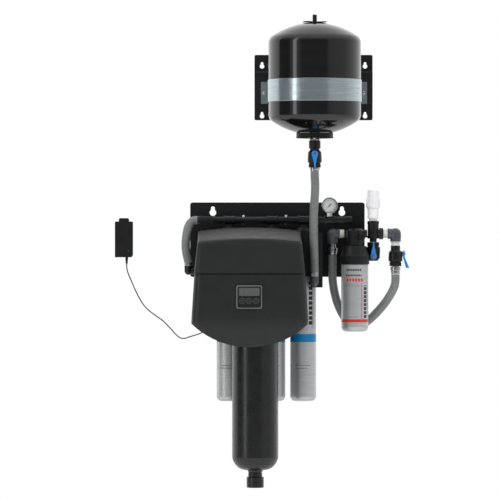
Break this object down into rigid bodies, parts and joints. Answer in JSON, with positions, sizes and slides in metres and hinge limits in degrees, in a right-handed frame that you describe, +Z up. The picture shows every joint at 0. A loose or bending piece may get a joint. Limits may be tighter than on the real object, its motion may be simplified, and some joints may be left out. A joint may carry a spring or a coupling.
{
  "type": "reverse osmosis unit",
  "caption": "Wall-hung reverse osmosis unit: prefilters on a manifold, a cowled membrane housing, a blend filter with ball valves, a strapped pressure tank and a plug-in power adapter.",
  "frame": {"origin": "point on the wall plane midway between the backplate's two keyhole slots, on the backplate's rear face", "axes": "+Z up, +Y into the wall, +X to the right as seen from in front"},
  "size_m": [0.8941, 0.2917, 1.422],
  "materials": {
    "black_steel": "satin",
    "tank_black": "gloss",
    "black_plastic": "satin",
    "housing_black": "satin",
    "cowl_plastic": "matte",
    "grey_plastic": "satin",
    "button_grey": "satin",
    "cartridge_shell": "satin",
    "galvanised": "satin",
    "bright_steel": "polished",
    "clear_white": "gloss",
    "lever_blue": "satin",
    "braided_hose": "satin",
    "black_rubber": "matte",
    "membrane_white": "matte",
    "clear_lens": "polished",
    "lcd": "gloss",
    "needle": "satin",
    "board_green": "satin",
    "adapter_black": "matte",
    "cord_dark": "matte"
  },
  "bodies": {
    "frame": {"backplate": "black_steel", "manifold": "black_plastic", "manifold_coupling": "black_plastic", "head_left": "black_plastic", "head_middle": "black_plastic", "head_right": "black_plastic", "blend_head": "black_plastic", "gauge_case": "bright_steel", "gauge_lens": "clear_lens", "left_elbow": "grey_plastic", "right_elbow": "grey_plastic", "inlet_tee": "black_plastic", "inlet_check_valve": "clear_white", "tank_valve": "black_plastic", "outlet_valve": "black_plastic", "blend_valve": "black_plastic", "tank_shell": "tank_black", "tank_diaphragm": "black_rubber", "tank_foot_ring": "black_steel", "air_valve": "bright_steel", "tank_bracket": "black_steel", "tank_strap": "galvanised", "ro_bracket": "black_steel", "membrane_head": "black_plastic", "membrane_housing": "housing_black", "membrane_element": "membrane_white", "housing_cap": "housing_black", "booster_pump": "grey_plastic", "tank_hose_barb": "bright_steel", "tank_hose": "braided_hose", "tank_hose_elbow": "grey_plastic", "loop_barb_left": "bright_steel", "loop_hose": "braided_hose", "loop_barb_right": "bright_steel", "feed_hose": "braided_hose", "feed_elbow": "black_plastic", "power_adapter": "adapter_black", "power_cord": "cord_dark", "power_jack": "black_plastic"},
    "cowl": {"cowl": "cowl_plastic", "controller_board": "board_green", "display_bezel": "cowl_plastic", "display_window": "lcd"},
    "button_left": {"button_left": "button_grey"},
    "button_middle": {"button_middle": "button_grey"},
    "button_right": {"button_right": "button_grey"},
    "tank_lever": {"tank_lever": "lever_blue"},
    "outlet_lever": {"outlet_lever": "lever_blue"},
    "blend_lever": {"blend_lever": "lever_blue"},
    "blend_knob": {"blend_knob": "black_plastic"},
    "gauge_needle": {"gauge_needle": "needle"},
    "rotor_left": {"rotor_left": "grey_plastic"},
    "cartridge_left": {"cartridge_left": "cartridge_shell"},
    "rotor_middle": {"rotor_middle": "grey_plastic"},
    "cartridge_middle": {"cartridge_middle": "cartridge_shell"},
    "rotor_right": {"rotor_right": "grey_plastic"},
    "cartridge_right": {"cartridge_right": "cartridge_shell"},
    "blend_rotor": {"blend_rotor": "grey_plastic"},
    "blend_cartridge": {"blend_cartridge": "cartridge_shell"},
    "air_valve_cap": {"air_valve_cap": "black_plastic"}
  },
  "joints": [
    {"name": "cowl_slide", "type": "slide", "parent": "frame", "child": "cowl", "axis": [0, -1, 0], "range_m": [0, 0.2]},
    {"name": "button_left_press", "type": "slide", "parent": "cowl", "child": "button_left", "axis": [0, 1, 0], "range_m": [0, 0.001], "stiffness_N_per_m": 400},
    {"name": "button_middle_press", "type": "slide", "parent": "cowl", "child": "button_middle", "axis": [0, 1, 0], "range_m": [0, 0.001], "stiffness_N_per_m": 400},
    {"name": "button_right_press", "type": "slide", "parent": "cowl", "child": "button_right", "axis": [0, 1, 0], "range_m": [0, 0.001], "stiffness_N_per_m": 400},
    {"name": "tank_lever_turn", "type": "hinge", "parent": "frame", "child": "tank_lever", "pos_m": [0.1113, -0.1728, 0.1699], "axis": [0, -1, 0], "range_deg": [0, 90]},
    {"name": "outlet_lever_turn", "type": "hinge", "parent": "frame", "child": "outlet_lever", "pos_m": [0.3805, -0.06, -0.1311], "axis": [-1, 0, 0], "range_deg": [0, 90]},
    {"name": "blend_lever_turn", "type": "hinge", "parent": "frame", "child": "blend_lever", "pos_m": [0.2903, -0.0828, -0.138], "axis": [0, 1, 0], "range_deg": [0, 90]},
    {"name": "blend_knob_turn", "type": "hinge", "parent": "frame", "child": "blend_knob", "pos_m": [0.2547, -0.1213, -0.08], "axis": [0, -1, 0], "range_deg": [0, 270]},
    {"name": "gauge_needle_turn", "type": "hinge", "parent": "frame", "child": "gauge_needle", "pos_m": [0.158, -0.064, 0.0161], "axis": [0, 1, 0], "range_deg": [0, 270]},
    {"name": "cartridge_left_turn", "type": "hinge", "parent": "frame", "child": "rotor_left", "pos_m": [-0.1455, -0.058, -0.098], "axis": [0, 0, 1], "range_deg": [0, 90]},
    {"name": "cartridge_left_drop", "type": "slide", "parent": "rotor_left", "child": "cartridge_left", "axis": [0, 0, -1], "range_m": [0, 0.06]},
    {"name": "cartridge_middle_turn", "type": "hinge", "parent": "frame", "child": "rotor_middle", "pos_m": [-0.0159, -0.058, -0.098], "axis": [0, 0, 1], "range_deg": [0, 90]},
    {"name": "cartridge_middle_drop", "type": "slide", "parent": "rotor_middle", "child": "cartridge_middle", "axis": [0, 0, -1], "range_m": [0, 0.06]},
    {"name": "cartridge_right_turn", "type": "hinge", "parent": "frame", "child": "rotor_right", "pos_m": [0.0776, -0.058, -0.098], "axis": [0, 0, 1], "range_deg": [0, 90]},
    {"name": "cartridge_right_drop", "type": "slide", "parent": "rotor_right", "child": "cartridge_right", "axis": [0, 0, -1], "range_m": [0, 0.06]},
    {"name": "blend_cartridge_turn", "type": "hinge", "parent": "frame", "child": "blend_rotor", "pos_m": [0.2335, -0.095, -0.105], "axis": [0, 0, 1], "range_deg": [0, 90]},
    {"name": "blend_cartridge_drop", "type": "slide", "parent": "blend_rotor", "child": "blend_cartridge", "axis": [0, 0, -1], "range_m": [0, 0.06]},
    {"name": "air_valve_cap_lift", "type": "slide", "parent": "frame", "child": "air_valve_cap", "axis": [0, 0, 1], "range_m": [0, 0.03]}
  ]
}
